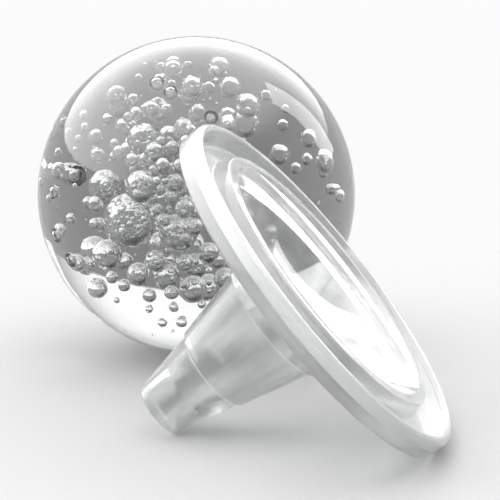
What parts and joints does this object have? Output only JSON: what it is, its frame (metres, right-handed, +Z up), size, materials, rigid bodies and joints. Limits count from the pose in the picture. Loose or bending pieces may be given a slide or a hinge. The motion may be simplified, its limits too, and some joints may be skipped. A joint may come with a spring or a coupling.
{
  "type": "bubbling ornament",
  "caption": "Clear glass ball full of trapped air bubbles, with a clear round dish on a hollow tapering stem that seats the ball over a pump's water jet.",
  "frame": {"origin": "middle of the floor under the pair: the centre of the underside of the bounding box", "axes": "+Z up; -Y is the front, where the holder lies; +Y is the back, where the ball stands; +X is to the right, where the dish opens"},
  "size_m": [0.1188, 0.1948, 0.1],
  "materials": {
    "bubble_glass": "polished solid clear glass with trapped air bubbles",
    "clear_plastic": "clear moulded plastic, polished"
  },
  "bodies": {
    "holder": {"ball_holder": "clear_plastic"},
    "ball": {"bubble_ball": "bubble_glass"}
  },
  "joints": [
    {"name": "ball_lift", "type": "slide", "parent": "holder", "child": "ball", "axis": [0, 0, 1], "range_m": [0, 0.12]}
  ]
}
